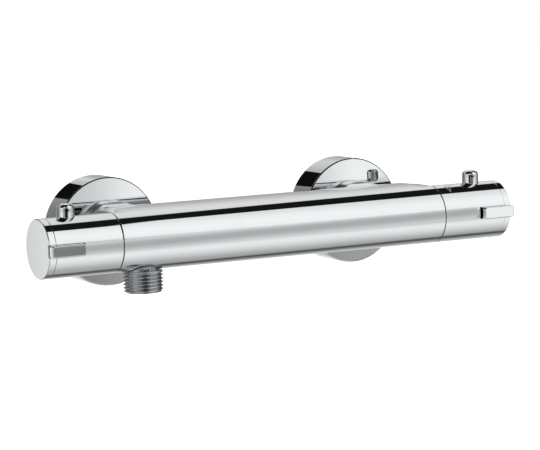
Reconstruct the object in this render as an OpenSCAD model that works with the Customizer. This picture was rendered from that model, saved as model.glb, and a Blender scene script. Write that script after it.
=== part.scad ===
// Thermostatic bar shower valve, wall mounted on two eccentric couplings.
// Origin: on the finished wall, midway between the two inlets, level with them.
// +X runs along the bar to the temperature handle, +Y goes into the wall, +Z is up.
// All sizes are millimetres.

/* [Layout] */
// Distance between the hot and the cold inlet
inlet_centres = 150; // [136:1:160]
// Distance from the bar's axis to the finished wall
axis_to_wall = 70; // [68:0.5:80]
// Diameter of the bar and of both handles
bar_d = 31.2; // [31:0.1:34]
// Distance from an inlet's centre to the end of the body beside it
end_past = 21; // [20:0.25:25]
// Distance from the bar's axis to the body's flat back
rear_depth = 21; // [20.5:0.1:22]
// Radius along the body's back edges
rear_round = 3; // [1:0.1:5]
// Gap that shows as the seam between the body and a handle
seam_gap = 0.5; // [0.3:0.05:0.8]

/* [Handles] */
// Length of a handle shell without its end cap
shell_len = 37.3; // [36:0.1:44]
// Thickness of the visible rim of an end cap
cap_len = 3.7; // [2.5:0.1:5]
// Gap between an end cap and its shell
cap_gap = 0.15; // [0.1:0.05:0.3]
// Wall of a handle shell
shell_wall = 2.6; // [2.2:0.1:2.9]
// Thickness of the web inside a handle
web_t = 3; // [2:0.1:4]
// Rounding of an end cap's outer edge
cap_round = 0.5; // [0.2:0.1:1]
// Diameter of a lever pin
lever_d = 9; // [6:0.1:10]
// Height of a lever pin above the handle
lever_h = 6.9; // [4:0.1:12]
// Distance from a shell's outer end to its lever pin
lever_inset = 12.3; // [11:0.1:13]

/* [Buttons] */
// Length of a button's bar along the handle
button_len = 18.6; // [18:0.1:20]
// Width of a button's bar
button_w = 6.2; // [5:0.1:7]
// Height of a button above the handle
button_h = 3.7; // [2.6:0.1:5]
// Travel of a button when pressed
button_travel = 1.8; // [1.5:0.1:1.9]
// Bevel round a button's face
button_bevel = 0.8; // [0.3:0.1:1]
// Rounding of a button's corners
button_round = 1.2; // [0.9:0.1:1.5]

/* [Inlets] */
// Diameter of a rosette
rosette_d = 58.4; // [54:0.2:70]
// Depth of a rosette from the wall to its rim
rosette_depth = 19.5; // [18:0.1:20]
// Radius of the sphere that domes a rosette's face
rosette_dome_r = 410; // [300:5:600]
// Sheet thickness of a rosette
rosette_wall = 1.2; // [0.8:0.1:1.6]
// Wall of a union nut at its flats, outside its thread
union_wall = 1.58; // [1.2:0.01:3]
// How far the union nut's turned collar stands out beyond its flats
union_collar_out = 2.4; // [1.7:0.1:2.6]
// Length of a union nut
union_len = 14.7; // [13.5:0.1:15.5]
// Offset between the two ends of an eccentric coupling
eccentric = 7; // [0:0.5:10]
// Length of a coupling's tail beyond the wall face
wall_tail_len = 18; // [12:0.5:25]
// Outside diameter of the wall and outlet threads, G1/2
half_inch_d = 20.955; // [20.8:0.005:21.1]
// Outside diameter of the union thread, G3/4
three_quarter_d = 26.441; // [26.3:0.001:26.5]

/* [Outlet] */
// Distance from the body's left end to the hose outlet's axis
outlet_inset = 16.7; // [14:0.1:20]
// How far the outlet's end stands out below the bar
outlet_out = 11.4; // [9:0.1:14]
// Diameter of the smooth neck above the outlet thread
outlet_neck_d = 16.6; // [16:0.1:18.4]
// Bore of the outlet
outlet_bore_d = 12.6; // [11:0.1:13]
// Chamfer on the outlet thread's end
outlet_chamfer = 1.1; // [0.6:0.1:1.5]

/* [Cartridges] */
// Diameter of the bore for the thermostatic cartridge
thermo_bore_d = 25; // [24.6:0.1:25.4]
// Depth of the bore for the thermostatic cartridge
thermo_bore_len = 44; // [43:0.1:46]
// Diameter of the bore for the flow cartridge
flow_bore_d = 20; // [19.6:0.1:20.4]
// Depth of the bore for the flow cartridge
flow_bore_len = 32; // [31.5:0.1:33]
// Number of splines on each spindle
spline_count = 20; // [12:1:24]
// Tip diameter of the splines
spline_d = 9.6; // [9:0.1:10]
// Turn of the flow handle from closed to fully open, degrees
flow_turn = 90; // [60:5:100]
// Turn of the temperature handle from the set mark to hot, degrees
hot_turn = 60; // [30:5:60]
// Axial travel of the regulating nut for one turn
nut_lead = 3; // [1.5:0.5:3]

/* [Clearances] */
// Radial clearance of a turning or sliding fit
run_clear = 0.08; // [0.05:0.01:0.1]
// Radial clearance of a thread or a fixed fit
fix_clear = 0.06; // [0.04:0.01:0.1]
// Clearance at each side of a button in its slot
slot_clear = 0.1; // [0.06:0.01:0.2]
// Clearance between faces that pass or seat loosely
face_clear = 0.2; // [0.1:0.05:0.25]

/* [Hidden] */
// Smoothness of round shapes
$fn = 96;
hex_sides = 6;
o_ring_sides = 32;
// Overrun of every cutting shape
over = 1;
// Gap at a seated face, so that neighbours rest without sharing a plane
seat_gap = 0.05;

// Derived sizes of the bar
bar_r = bar_d / 2;
body_len = inlet_centres + 2 * end_past;
body_half = body_len / 2;
outlet_at = body_half - outlet_inset;
outlet_drop = bar_r + outlet_out;
handle_x = body_half + seam_gap;
shell_in_r = bar_r - shell_wall;
cap_z = shell_len + cap_gap;
handle_end = cap_z + cap_len;

// Bores of the cartridges and the counterbores for their glands
thermo_r = thermo_bore_d / 2;
flow_r = flow_bore_d / 2;
gland_len = 7.5;
thermo_gland_wall = 0.9;
flow_gland_wall = 1.6;
gland_x = body_half - gland_len;
thermo_gland_r = thermo_r + thermo_gland_wall;
flow_gland_r = flow_r + flow_gland_wall;
thermo_x = body_half - thermo_bore_len;
flow_x = body_half - flow_bore_len;

// Waterways in the body: mixed water along the bar, hot water behind it
mixed_r = 6;
hot_channel_r = 3.4;
hot_channel_y = 16.2;
port_r = 2.8;
hot_port_at = 3.4;
hot_port_x = thermo_x + hot_port_at;
inlet_way_r = 5.2;

// Inlet connector, from the bar's axis towards the wall
tail_thread_r = 9.2;
tail_thread_back = 1.5;
tail_thread_len = rear_depth - thermo_r - tail_thread_back;
tail_flange_r = 11.5;
tail_flange_t = 1.8;
tail_tube_r = 9.9;
tail_collar_r = 12.6;
tail_collar_t = 2.5;
washer_t = 2.4;
union_lip_t = 2.8;
union_collar_t = 8;
union_chamfer = 0.8;
union_af = three_quarter_d + 2 * union_wall;
union_collar_r = union_af / 2 + union_collar_out;
union_corner_r = union_af / 2 / cos(180 / hex_sides);
union_bore_r = three_quarter_d / 2 + run_clear;
// Dome height of a rosette's face and the height of the face's middle above the axis
rosette_r = rosette_d / 2;
rosette_sagitta = rosette_dome_r - sqrt(pow(rosette_dome_r, 2) - pow(rosette_r, 2));
rosette_rim_z = axis_to_wall - rosette_depth;
rosette_top_z = rosette_rim_z - rosette_sagitta;
rosette_bevel = 0.6;
rosette_boss_t = 2;
rosette_boss_len = 6;
union_end_z = rosette_top_z - face_clear;
union_z = union_end_z - union_len;
collar_z = union_z + union_lip_t + face_clear;
tail_end_z = collar_z + tail_collar_t;
coupling_z = tail_end_z + washer_t;

// Check valve cartridge in the inlet connector
check_r = 7.5;
check_wall = 1.3;
check_len = 13.8;
check_seat_t = 2;
check_seat_r = 4.2;
check_guide_t = 2;
check_stem_r = 1.2;
check_head_r = 5.2;
check_head_t = 1.6;
check_hub_r = 2.4;
check_port_r = 1.3;
check_port_count = 5;
check_wire_r = 0.3;
check_coil_r = 2.4;
check_turns = 5;
check_end_z = tail_end_z - face_clear;
check_z = check_end_z - check_len;

// Eccentric coupling, from its union end to its wall end
coupling_bore_r = 8;
coupling_wall_bore_r = 7;
coupling_thread_len = 15.4;
coupling_disc_t = 4;
coupling_step = 1;
coupling_disc_r = 17.2;
coupling_chamfer = 1;
coupling_disc_z = coupling_z + coupling_thread_len;
coupling_tail_z = coupling_disc_z + coupling_disc_t;
coupling_end_z = axis_to_wall + wall_tail_len;
half_inch_r = half_inch_d / 2;
three_quarter_r = three_quarter_d / 2;

// Glands, spindles and splines; x counts from the middle of the body
gland_neck_r = 8.4;
gland_neck_len = 4.2;
spindle_neck_r = 5;
spindle_flange_r = 7.6;
spindle_flange_t = 1.6;
spline_r = spline_d / 2;
spline_depth = 0.7;
spline_land_share = 0.5;
spline_z = 5;
screw_seat_t = 2;
spindle_hole_r = 1.65;
spindle_hole_len = 10;

// Stop ring on each gland neck, in handle coordinates
ring_z = 0.5;
ring_disc_t = 2;
ring_len = 6;
ring_hub_t = 1.1;
ring_side_gap = 0.5;
lug_rim = 0.2;
lug_t = 1.9;
ring_disc_r = shell_in_r - ring_side_gap;
lug_out_r = ring_disc_r - lug_rim;
lug_in_r = lug_out_r - lug_t;
lug_half_angle = 6;
lug_gap_angle = 1;
rib_half_angle = 6;
arm_half_angle = 10;
economy_angle = 45;
ring_in_r = gland_neck_r + fix_clear;
rib_step = rib_half_angle + lug_half_angle + lug_gap_angle;
arm_step = arm_half_angle + lug_half_angle + lug_gap_angle;
// Turn from the set mark to cold, where the rib meets the safety button's lug from its far side
cold_turn = 180 - arm_step - rib_step;

// Handle inside, in handle coordinates
button_z = handle_end - button_len;
web_back = 3.05;
web_end_z = button_z - web_back;
web_z = web_end_z - web_t;
spline_end_z = web_end_z - screw_seat_t;
insert_z = 7.5;
insert_flange_t = 1.5;
insert_flange_r = 7.4;
insert_r = 6.4;
hub_r = 8;
screw_head_r = 3.6;
screw_head_t = 2.5;
screw_r = 1.6;
screw_socket_r = 1.5;
screw_socket_t = 1.4;
screw_len = 8.5;
rib_clear = 0.4;
rib_z = ring_z + ring_disc_t + rib_clear;
rib_len = 3;
rib_in_r = lug_in_r + rib_clear;
lever_r = lever_d / 2;
lever_at = shell_len - lever_inset;
lever_foot = 1;
lever_top_round = 2;
lever_shank_r = 2.4;
lever_boss_r = 4.6;
lever_boss_t = 2;
lever_shank_in = shell_in_r - lever_boss_t;

// Button and end cap inside, in handle coordinates
button_top_y = bar_r + button_h;
flange_w = 8.8;
flange_t = 1.5;
rim_dip = 0.2;
rim_low_y = bar_r - rim_dip;
notch_y = rim_low_y - button_travel - seat_gap;
flange_drop = 0.9;
flange_top_y = shell_in_r - flange_drop;
flange_start = 0.8;
flange_len = 10;
flange_z = button_z + flange_start;
arm_w = 4;
arm_t = 1.4;
arm_z = ring_z + ring_len + rib_clear;
window_w = arm_w + 2 * face_clear;
window_low_y = flange_top_y - arm_t - button_travel - rib_clear;
spigot_len = 3.6;
spigot_t = 1.6;
post_r = 6.5;
post_flat_y = 5.5;
spring_at = 6.5;
spring_z = flange_z + spring_at;
spring_pocket_r = 2.9;
post_rim = 1.5;
post_z = spring_z - spring_pocket_r - post_rim;
spring_pocket_t = 1.5;
spring_wire_r = 0.3;
spring_coil_r = 2.1;
spring_turns = 5;
spring_pin_r = 1.2;
spring_pin_len = 1.6;

// Thermostatic cartridge, x from the middle of the body
housing_r = thermo_r - run_clear;
housing_wall = 1.9;
housing_in_r = housing_r - housing_wall;
housing_x = thermo_x + face_clear;
housing_floor_t = 1.5;
housing_mouth_r = 5.8;
housing_end_x = gland_x - face_clear;
seat_x = housing_x + housing_floor_t;
hot_gap = 1.7;
cold_gap = 0.9;
slider_len = 15;
slider_wall = 1.6;
slider_r = housing_in_r - run_clear;
slider_x = seat_x + hot_gap;
slider_end_x = slider_x + slider_len;
spider_t = 1.6;
spider_port_r = 1.5;
spider_port_count = 6;
cold_seat_x = slider_end_x + cold_gap;
cold_seat_r = 7.5;
window_r = 1.7;
window_count = 8;
recess_t = 0.9;
recess_rim = 0.4;
hot_window_x = seat_x + window_r + seat_gap;
hot_recess_x = seat_x - recess_rim;
hot_recess_end_x = hot_port_x + port_r + recess_rim;
cold_window_x = cold_seat_x - window_r - seat_gap;
cold_recess_x = cold_window_x - window_r - recess_rim;
cold_recess_end_x = inlet_centres / 2 + inlet_way_r;
wax_r = 4;
wax_len = 19;
wax_flange_r = 5.6;
wax_flange_t = 1.2;
piston_r = 1.5;
nut_r = 8;
nut_len = 7;
nut_floor_t = 1.6;
nut_x = gland_x - face_clear - nut_len - 2 * spindle_flange_t;
nut_key_w = 2.4;
nut_key_out = 1.6;
nut_thread_r = 5.2;
piston_end_x = nut_x;
key_clear = 0.15;
return_wire_r = 0.55;
return_coil_r = 7;
return_turns = 6;
o_ring_r = 0.9;
groove_r = housing_r - 2 * o_ring_r + run_clear;

// Flow cartridge, x from the middle of the body towards the left end
flow_housing_r = flow_r - run_clear;
flow_housing_wall = 1.5;
flow_housing_in_r = flow_housing_r - flow_housing_wall;
disc_seal_t = 1.8;
disc_seal_w = 1.6;
disc_seal_proud = 0.6;
disc_t = 3;
disc_r = flow_housing_in_r - fix_clear;
disc_port_share = 0.72;
disc_port_in_share = 0.25;
port_sector = 80;
flow_seal_x = flow_x + face_clear;
disc_x = flow_seal_x + disc_seal_t;
moving_x = disc_x + disc_t;
driver_x = moving_x + disc_t + seat_gap;
driver_t = 1.6;
driver_r = 7;
driver_w = 5;
driver_tab_t = 1.2;
driver_tab_w = 3;
flow_shaft_r = 3.6;
flow_window_r = 3;
flow_window_count = 4;
vane_r = 7.2;
vane_t = 2.4;
vane_half_angle = 20;
vane_gap_angle = 1;
vane_x = gland_x - face_clear - vane_t - spindle_flange_t;
shelf_t = 1.5;
shelf_x = vane_x - face_clear - shelf_t;
flow_window_x = (driver_x + driver_t + shelf_x) / 2;
flow_o_ring_x = vane_x + vane_t / 2;
flow_groove_r = flow_housing_r - 2 * o_ring_r + run_clear;

// Colours
chrome = [0.83, 0.85, 0.87];
dark_chrome = [0.45, 0.47, 0.49];
brass = [0.78, 0.64, 0.32];
steel = [0.62, 0.64, 0.66];
ceramic = [0.93, 0.93, 0.9];
plastic_white = [0.9, 0.9, 0.88];
plastic_grey = [0.42, 0.44, 0.46];
plastic_red = [0.75, 0.2, 0.16];
rubber = [0.12, 0.12, 0.13];
copper = [0.72, 0.45, 0.3];

// Frames: each turns a piece's own Z axis to where the piece lies

// Z runs along the bar from the middle of the body to the right
module along_bar(x = 0) {
    translate([x, -axis_to_wall, 0])
        rotate([0, 90, 0])
            children();
}

// The same for the left side, as a mirror image
module along_bar_left(x = 0) {
    mirror([1, 0, 0])
        along_bar(x)
            children();
}

// Z runs from the bar's axis to the wall at one inlet; side is 1 for cold and -1 for hot
module at_inlet(side) {
    translate([side * inlet_centres / 2, -axis_to_wall, 0])
        rotate([-90, 0, 0])
            children();
}

// Z runs from the bar's axis down through the outlet
module at_outlet() {
    translate([-outlet_at, -axis_to_wall, 0])
        rotate([180, 0, 0])
            children();
}

// Z runs from a handle's axis out through its front, at height z of the handle
module to_front(z) {
    translate([0, 0, z])
        rotate([90, 0, 0])
            children();
}

// Z runs from a handle's axis out through its top, at height z of the handle
module to_top(z) {
    translate([0, 0, z])
        rotate([0, -90, 0])
            children();
}

// Shared forms

// Cylinder between two heights
module rod(r, z0, z1) {
    translate([0, 0, z0])
        cylinder(r = r, h = z1 - z0);
}

// Ring between two radii and two heights
module ring(r_out, r_in, z0, z1) {
    difference() {
        rod(r_out, z0, z1);
        rod(r_in, z0 - over, z1 + over);
    }
}

// Cylinder with a chamfer at each end, zero for none
module chamfered_rod(r, z0, z1, c0, c1) {
    rotate_extrude()
        polygon([
            [0, z0], [r - c0, z0], [r, z0 + c0],
            [r, z1 - c1], [r - c1, z1], [0, z1]
        ]);
}

// Box centred on X and Y between two heights
module slab(w, d, z0, z1) {
    translate([-w / 2, -d / 2, z0])
        cube([w, d, z1 - z0]);
}

// Part of a ring that spans half an angle to each side of a direction
module ring_sector(r_out, r_in, z0, z1, direction, half_angle) {
    translate([0, 0, z0])
        rotate([0, 0, direction - half_angle])
            rotate_extrude(angle = 2 * half_angle)
                translate([r_in, 0])
                    square([r_out - r_in, z1 - z0]);
}

// Copies spread evenly round the axis
module around(count, start = 0) {
    for (i = [0 : count - 1])
        rotate([0, 0, start + 360 * i / count])
            children();
}

// O-ring of wire radius r whose wire's centre is at radius mid
module o_ring(mid, r, z) {
    translate([0, 0, z])
        rotate_extrude()
            translate([mid, 0])
                circle(r = r, $fn = o_ring_sides);
}

// Splined bar: straight teeth between a root and a tip radius
module splines(r_tip, z0, z1) {
    pitch = 360 / spline_count;
    tip = pitch * spline_land_share / 2;
    root = pitch * (1 - spline_land_share) / 2;
    r_root = r_tip - spline_depth;
    points = [
        for (i = [0 : spline_count - 1])
            for (c = [[r_tip, -tip / 2], [r_tip, tip / 2], [r_root, tip], [r_root, tip + root]])
                [c[0] * cos(i * pitch + c[1]), c[0] * sin(i * pitch + c[1])]
    ];
    translate([0, 0, z0])
        linear_extrude(height = z1 - z0)
            polygon(points);
}

// Coil spring as one unbroken tube of evenly climbing turns
coil_sides = 6;
coil_steps = 12;

function coil_ring(mid, wire, length, turns, t) = [
    for (k = [0 : coil_sides - 1])
        let (
            r = mid + wire * cos(360 * k / coil_sides),
            z = wire + (length - 2 * wire) * t / turns + wire * sin(360 * k / coil_sides)
        )
            [r * cos(360 * t), r * sin(360 * t), z]
];

module coil(mid, wire, length, turns) {
    steps = turns * coil_steps;
    ring_points = [
        for (i = [0 : steps])
            each coil_ring(mid, wire, length, turns, i / coil_steps)
    ];
    side_faces = [
        for (i = [0 : steps - 1])
            for (k = [0 : coil_sides - 1])
                let (
                    a = i * coil_sides + k,
                    b = i * coil_sides + (k + 1) % coil_sides,
                    c = a + coil_sides,
                    d = b + coil_sides
                )
                    each [[a, c, b], [b, c, d]]
    ];
    last = steps * coil_sides;
    end_faces = [
        for (k = [1 : coil_sides - 2])
            each [[0, k, k + 1], [last, last + k + 1, last + k]]
    ];
    polyhedron(points = ring_points, faces = concat(side_faces, end_faces));
}

// Body

// Outline of the bar's body: round in front, flat behind, seen along the bar
module body_outline() {
    circle(r = bar_r);
    translate([-bar_r, 0])
        square([2 * bar_r, rear_depth - rear_round]);
    translate([rear_round - bar_r, 0])
        square([2 * (bar_r - rear_round), rear_depth]);
    for (side = [-1, 1])
        translate([side * (bar_r - rear_round), rear_depth - rear_round])
            circle(r = rear_round);
}

module valve_body() {
    color(chrome)
        difference() {
            along_bar(-body_half)
                linear_extrude(height = body_len)
                    body_outline();
            // Cartridge bores, gland counterbores and the mixed water way between them
            along_bar() {
                rod(thermo_r, thermo_x, body_half + over);
                rod(thermo_gland_r, gland_x, body_half + over);
                rod(mixed_r, -flow_x - over, thermo_x + over);
            }
            along_bar_left() {
                rod(flow_r, flow_x, body_half + over);
                rod(flow_gland_r, gland_x, body_half + over);
            }
            // Hot way behind the bar, from the hot inlet to the thermostat
            translate([0, hot_channel_y, 0])
                along_bar()
                    rod(hot_channel_r, -inlet_centres / 2, hot_port_x);
            translate([hot_port_x, -axis_to_wall, 0])
                rotate([-90, 0, 0])
                    rod(port_r, 0, hot_channel_y);
            // Threaded inlets, then the hot inlet ends in its channel and the cold one in the bore
            for (side = [-1, 1])
                at_inlet(side)
                    rod(tail_thread_r + fix_clear, rear_depth - tail_thread_len, rear_depth + over);
            at_inlet(-1)
                rod(inlet_way_r, hot_channel_y - hot_channel_r, rear_depth);
            at_inlet(1)
                rod(inlet_way_r, 0, rear_depth);
            // Outlet seat under the flow cartridge
            at_outlet() {
                rod(outlet_bore_d / 2, 0, bar_r);
                rod(outlet_neck_r + fix_clear, outlet_seat_z, bar_r + over);
            }
        }
}

// Outlet

outlet_neck_r = outlet_neck_d / 2;
outlet_wall = 1.2;
outlet_seal_r = 0.7;
outlet_seal_in = 0.25;
outlet_thread_gap = 0.2;
outlet_seat_z = flow_r + outlet_wall;
outlet_top_z = outlet_seat_z + 2 * outlet_seal_r + seat_gap;
outlet_thread_z = bar_r + outlet_thread_gap;

module outlet_nipple() {
    color(steel)
        at_outlet()
            difference() {
                union() {
                    rod(outlet_neck_r, outlet_top_z, outlet_drop - outlet_chamfer);
                    chamfered_rod(half_inch_r, outlet_thread_z, outlet_drop, 0, outlet_chamfer);
                }
                rod(outlet_bore_d / 2, outlet_top_z - over, outlet_drop + over);
            }
}

module outlet_seal() {
    mid = outlet_neck_r - outlet_seal_r - outlet_seal_in;
    color(rubber)
        at_outlet()
            o_ring(mid, outlet_seal_r, outlet_seat_z + outlet_seal_r + seat_gap / 2);
}

// Inlets

module inlet_tail(side) {
    color(chrome)
        at_inlet(side)
            difference() {
                union() {
                    rod(tail_thread_r, rear_depth - tail_thread_len + face_clear, rear_depth);
                    rod(tail_flange_r, rear_depth, rear_depth + tail_flange_t);
                    rod(tail_tube_r, rear_depth, tail_end_z);
                    rod(tail_collar_r, collar_z, tail_end_z);
                }
                rod(check_r + fix_clear, check_z, tail_end_z + over);
                rod(inlet_way_r + fix_clear, 0, tail_end_z);
            }
}

module union_nut(side) {
    color(chrome)
        at_inlet(side)
            difference() {
                union() {
                    intersection() {
                        translate([0, 0, union_z])
                            cylinder(r = union_corner_r, h = union_len, $fn = hex_sides);
                        chamfered_rod(union_collar_r, union_z, union_end_z, union_chamfer, 0);
                    }
                    chamfered_rod(
                        union_collar_r, union_end_z - union_collar_t, union_end_z,
                        union_chamfer / 2, union_chamfer / 2
                    );
                }
                rod(tail_tube_r + face_clear, union_z - over, union_end_z);
                rod(union_bore_r, union_z + union_lip_t, union_end_z + over);
            }
}

// Flat washer with a perforated strainer disc in its bore
strainer_t = 0.4;
strainer_seat = 0.5;
strainer_hole_r = 0.8;
strainer_pitch = 2.3;
strainer_holes = 6;
washer_r = 12.6;
washer_bore_r = 7.4;

module strainer_washer(side) {
    disc_r = washer_bore_r + strainer_seat;
    at_inlet(side) {
        color(rubber)
            difference() {
                ring(washer_r, washer_bore_r, tail_end_z, coupling_z);
                rod(disc_r, coupling_z - 2 * strainer_t, coupling_z + over);
            }
        color(steel)
            difference() {
                rod(disc_r - fix_clear, coupling_z - 2 * strainer_t, coupling_z - strainer_t);
                rod(strainer_hole_r, tail_end_z, coupling_z);
                for (lap = [1 : 2])
                    around(strainer_holes * lap)
                        translate([strainer_pitch * lap, 0, 0])
                            rod(strainer_hole_r, tail_end_z, coupling_z);
            }
    }
}

module check_housing(side) {
    color(plastic_white)
        at_inlet(side)
            difference() {
                rod(check_r, check_z + face_clear, check_end_z);
                rod(check_r - check_wall, check_z + face_clear + check_guide_t,
                    check_end_z - check_seat_t);
                rod(check_seat_r, check_end_z - check_seat_t - over, check_end_z + over);
                rod(check_stem_r + run_clear, check_z - over, check_end_z);
                around(check_port_count)
                    translate([check_hub_r + check_port_r, 0, 0])
                        rod(check_port_r, check_z - over, check_end_z - check_seat_t - over);
            }
}

// The head seats towards the wall, and inlet pressure pushes it open towards the bar
module check_poppet(side) {
    head_z = check_end_z - check_seat_t - seat_gap;
    color(plastic_red)
        at_inlet(side)
            rotate_extrude()
                polygon([
                    [0, check_z + face_clear], [check_stem_r, check_z + face_clear],
                    [check_stem_r, head_z - check_head_t], [check_head_r, head_z - check_head_t],
                    [check_head_r, head_z], [check_seat_r - run_clear - seat_gap, head_z],
                    [0, head_z + check_seat_t / 2]
                ]);
}

module check_spring(side) {
    base = check_z + face_clear + check_guide_t + seat_gap;
    head = check_end_z - check_seat_t - seat_gap - check_head_t - seat_gap;
    color(steel)
        at_inlet(side)
            translate([0, 0, base])
                coil(check_coil_r, check_wire_r, head - base, check_turns);
}

module eccentric_coupling(side) {
    color(brass)
        at_inlet(side)
            difference() {
                union() {
                    chamfered_rod(three_quarter_r, coupling_z, coupling_disc_z, coupling_chamfer, 0);
                    translate([0, eccentric / 2, 0])
                        rod(coupling_disc_r, coupling_disc_z, coupling_tail_z);
                    translate([0, eccentric, 0])
                        chamfered_rod(half_inch_r, coupling_tail_z, coupling_end_z, 0,
                            coupling_chamfer);
                }
                rod(coupling_bore_r, coupling_z - over, coupling_tail_z - coupling_step);
                translate([0, eccentric, 0])
                    rod(coupling_wall_bore_r, coupling_disc_z + coupling_step,
                        coupling_end_z + over);
            }
}

// Deep cup with a domed face that hides the coupling against the wall
module rosette(side) {
    sphere_z = rosette_top_z + rosette_dome_r;
    color(chrome)
        at_inlet(side)
            difference() {
                union() {
                    difference() {
                        intersection() {
                            chamfered_rod(rosette_r, rosette_top_z - rosette_bevel, axis_to_wall,
                                rosette_sagitta + 2 * rosette_bevel, 0);
                            translate([0, 0, sphere_z])
                                sphere(r = rosette_dome_r, $fn = 360);
                        }
                        rod(rosette_r - rosette_wall, rosette_rim_z + rosette_wall,
                            axis_to_wall + over);
                    }
                    rod(union_bore_r + rosette_boss_t, rosette_rim_z, rosette_rim_z
                        + rosette_boss_len);
                }
                rod(union_bore_r, rosette_top_z - over, axis_to_wall);
            }
}

// Thermostatic cartridge

module thermostat_housing() {
    color(plastic_grey)
        along_bar()
            difference() {
                rod(housing_r, housing_x, housing_end_x);
                rod(housing_mouth_r, housing_x - over, housing_end_x);
                rod(housing_in_r, seat_x, cold_seat_x);
                rod(cold_seat_r, cold_seat_x - over, housing_end_x);
                rod(nut_r + run_clear, nut_x - nut_floor_t - face_clear, housing_end_x + over);
                // Keyways for the regulating nut
                around(2)
                    slab_key_cut();
                // Ring channels outside, with windows: hot at the inner seat, cold at the outer
                ring(housing_r + over, housing_r - recess_t, hot_recess_x, hot_recess_end_x);
                ring(housing_r + over, housing_r - recess_t, cold_recess_x, cold_recess_end_x);
                around(window_count, 180 / window_count)
                    for (x = [hot_window_x, cold_window_x])
                        translate([0, 0, x])
                            rotate([0, 90, 0])
                                rod(window_r, wax_r, thermo_r);
                // Grooves for the sealing rings
                for (x = thermo_o_ring_x)
                    ring(housing_r + over, groove_r, x - o_ring_r, x + o_ring_r);
            }
}

// Places of the sealing rings: between hot and cold, and outside cold
thermo_o_ring_x = [
    (hot_recess_end_x + cold_recess_x) / 2,
    cold_recess_end_x + 2 * o_ring_r,
];

module slab_key_cut() {
    key = nut_key_w + 2 * key_clear;
    translate([0, -key / 2, nut_x - nut_floor_t - face_clear])
        cube([nut_r + nut_key_out, key, housing_end_x - nut_x + nut_floor_t + face_clear + over]);
}

module thermostat_slider() {
    in_r = slider_r - slider_wall;
    color(plastic_white)
        along_bar()
            difference() {
                rod(slider_r, slider_x, slider_end_x);
                rod(in_r, slider_x - over, slider_end_x - spider_t);
                rod(wax_r + fix_clear, slider_x, slider_end_x + over);
                around(spider_port_count)
                    translate([wax_flange_r + spider_port_r, 0, 0])
                        rod(spider_port_r, slider_x, slider_end_x + over);
            }
}

module wax_element() {
    top = slider_end_x + wax_flange_t;
    color(copper)
        along_bar() {
            rod(wax_r, top - wax_len, slider_end_x);
            rod(wax_flange_r, slider_end_x, top);
            rod(piston_r, top, piston_end_x - seat_gap);
        }
}

module thermostat_return_spring() {
    base = seat_x + seat_gap;
    top = slider_end_x - spider_t - seat_gap;
    color(steel)
        along_bar(base)
            coil(return_coil_r, return_wire_r, top - base, return_turns);
}

// Slides in two keyways and carries the wax element's piston
module regulating_nut() {
    color(brass)
        along_bar()
            difference() {
                union() {
                    rod(nut_r, nut_x, nut_x + nut_len);
                    around(2)
                        translate([0, -nut_key_w / 2, nut_x])
                            cube([nut_r + nut_key_out - key_clear, nut_key_w, nut_len]);
                }
                rod(nut_thread_r, nut_x + nut_floor_t, nut_x + nut_len + over);
            }
}

// Turned spindle with a flange under the gland and splines under the handle
module spindle_end() {
    spline_start = handle_x + spline_z;
    spline_stop = handle_x + spline_end_z;
    difference() {
        union() {
            rod(spindle_flange_r, gland_x - face_clear - spindle_flange_t, gland_x - face_clear);
            rod(spindle_neck_r - run_clear, gland_x - face_clear, spline_start);
            splines(spline_r, spline_start, spline_stop);
        }
        rod(spindle_hole_r, spline_stop - spindle_hole_len, spline_stop + over);
    }
}

module temperature_spindle() {
    color(brass)
        along_bar() {
            spindle_end();
            rod(nut_thread_r - run_clear, nut_x + nut_floor_t + nut_travel_room,
                gland_x - face_clear - spindle_flange_t);
        }
}

// Room between the spindle's tip and the nut's floor for the nut's travel
nut_travel_room = nut_lead * cold_turn / 360 + face_clear;

module gland(r) {
    difference() {
        union() {
            rod(r - fix_clear, gland_x, body_half);
            rod(gland_neck_r, body_half, body_half + gland_neck_len);
        }
        rod(spindle_neck_r, gland_x - over, body_half + gland_neck_len + over);
        // Groove for the spindle's sealing ring
        ring(spindle_neck_r + gland_ring_r, 0, gland_ring_x - gland_ring_r, gland_ring_x
            + gland_ring_r);
        // Two holes for a pin spanner
        around(2)
            translate([spanner_at, 0, 0])
                rod(spanner_r, body_half - spanner_depth, body_half + over);
    }
}

gland_ring_r = 0.8;
gland_ring_x = gland_x + gland_len / 2;
spanner_at = 9.6;
spanner_r = 0.9;
spanner_depth = 3;

module thermostat_gland() {
    color(brass)
        along_bar()
            gland(thermo_gland_r);
}

module thermostat_o_rings() {
    color(rubber)
        along_bar() {
            for (x = thermo_o_ring_x)
                o_ring(groove_r + o_ring_r, o_ring_r - run_clear, x);
            o_ring(spindle_neck_r + gland_ring_r / 2, gland_ring_r / 2 - run_clear / 2, gland_ring_x);
        }
}

// Flow cartridge

module flow_cartridge_housing() {
    pocket_x = shelf_x + shelf_t;
    flange_x = vane_x + vane_t;
    color(brass)
        along_bar_left()
            difference() {
                rod(flow_housing_r, flow_seal_x + disc_seal_proud, gland_x - face_clear);
                rod(flow_housing_in_r, flow_seal_x, shelf_x);
                rod(flow_shaft_r + run_clear, flow_seal_x, gland_x);
                rod(spindle_flange_r + run_clear, flange_x, gland_x);
                // Sector in which the spindle's vane turns from shut to open
                ring_sector(vane_r + run_clear, 0, pocket_x, gland_x,
                    90 - flow_turn / 2, flow_turn / 2 + vane_half_angle + vane_gap_angle);
                around(flow_window_count)
                    translate([0, 0, flow_window_x])
                        rotate([0, 90, 0])
                            rod(flow_window_r, 0, flow_r + over);
                ring(flow_housing_r + over, flow_groove_r, flow_o_ring_x - o_ring_r,
                    flow_o_ring_x + o_ring_r);
            }
}

module flow_disc_seal() {
    color(rubber)
        along_bar_left()
            ring(disc_r, disc_r - disc_seal_w, flow_seal_x, disc_x - seat_gap);
}

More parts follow.
